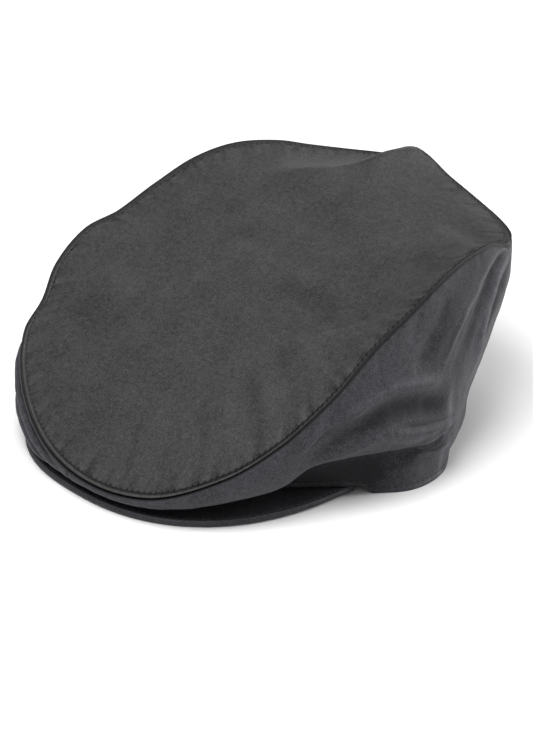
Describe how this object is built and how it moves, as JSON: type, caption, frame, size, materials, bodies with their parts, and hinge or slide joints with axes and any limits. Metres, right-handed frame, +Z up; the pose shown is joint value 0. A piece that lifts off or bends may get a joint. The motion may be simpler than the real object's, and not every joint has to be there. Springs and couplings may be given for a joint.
{
  "type": "waxed flat cap",
  "caption": "Soft flat cap in dark waxed cotton: a sloping top panel sewn to two slumped side panels over a short stiff peak, open below for the head.",
  "frame": {"origin": "middle of the bounding box, on the surface that the hem rests on", "axes": "+Z up, the peak faces -Y, +X is the wearer's left"},
  "size_m": [0.2158, 0.2485, 0.1036],
  "materials": {
    "waxed_cloth_top": "waxed cotton, dull sheen, fine mottle",
    "waxed_cloth_side": "waxed cotton, dull sheen, creased",
    "waxed_cloth_peak": "waxed cotton over a stiff board"
  },
  "bodies": {
    "root": {"top_panel": "waxed_cloth_top", "side_panel_left": "waxed_cloth_side", "side_panel_right": "waxed_cloth_side", "peak": "waxed_cloth_peak"}
  },
  "joints": []
}
